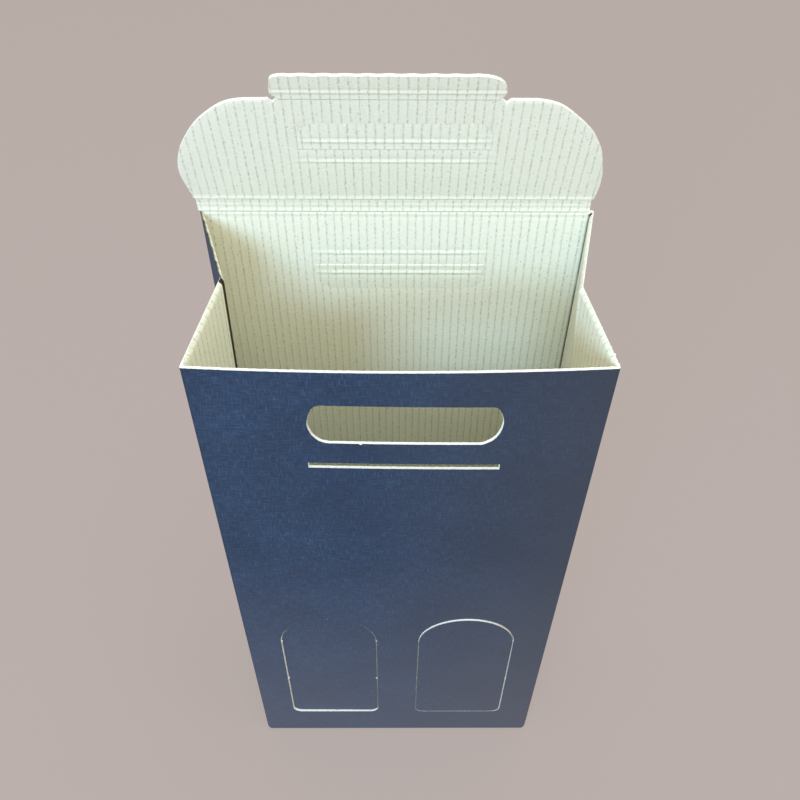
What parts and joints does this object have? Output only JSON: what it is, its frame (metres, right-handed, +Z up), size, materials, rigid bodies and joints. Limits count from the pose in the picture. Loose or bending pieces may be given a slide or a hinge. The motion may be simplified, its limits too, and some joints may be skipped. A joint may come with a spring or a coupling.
{
  "type": "bottle shipping box",
  "caption": "Upright folded board box for bottles, open at the top, with a hand hole, a tuck slot, arched die-cut windows and a hinged lid with rounded lobes.",
  "frame": {"origin": "centre of the base, on the surface that the box stands on", "axes": "+Z up, the front panel with the hand hole faces -Y, +X to the right seen from the front"},
  "size_m": [0.1902, 0.096, 0.4805],
  "materials": {
    "blue_board": "satin linen-embossed dark blue liner, cream inside",
    "cream_board": "matt off-white liner with fine flute lines"
  },
  "bodies": {
    "box": {"carton": "blue_board"},
    "strip": {"lid_strip": "cream_board"},
    "lid": {"lid_flap": "cream_board"},
    "tab": {"tuck_tab": "cream_board"},
    "lid_grip": {"lid_hand_flap": "cream_board"},
    "back_grip": {"back_hand_flap": "blue_board"}
  },
  "joints": [
    {"name": "lower_lid_crease", "type": "hinge", "parent": "box", "child": "strip", "pos_m": [0, 0.0458, 0.39635], "axis": [1, 0, 0], "range_deg": [-90, 37]},
    {"name": "upper_lid_crease", "type": "hinge", "parent": "strip", "child": "lid", "pos_m": [0, 0.0448, 0.40429], "axis": [1, 0, 0], "range_deg": [-90, 37]},
    {"name": "tuck_crease", "type": "hinge", "parent": "lid", "child": "tab", "pos_m": [0, 0.02876, 0.46676], "axis": [1, 0, 0], "range_deg": [0, 90]},
    {"name": "lid_grip_crease", "type": "hinge", "parent": "lid", "child": "lid_grip", "pos_m": [0, 0.03627, 0.43751], "axis": [1, 0, 0], "range_deg": [0, 90]},
    {"name": "back_grip_crease", "type": "hinge", "parent": "box", "child": "back_grip", "pos_m": [0, 0.0458, 0.36205], "axis": [1, 0, 0], "range_deg": [0, 90]}
  ]
}
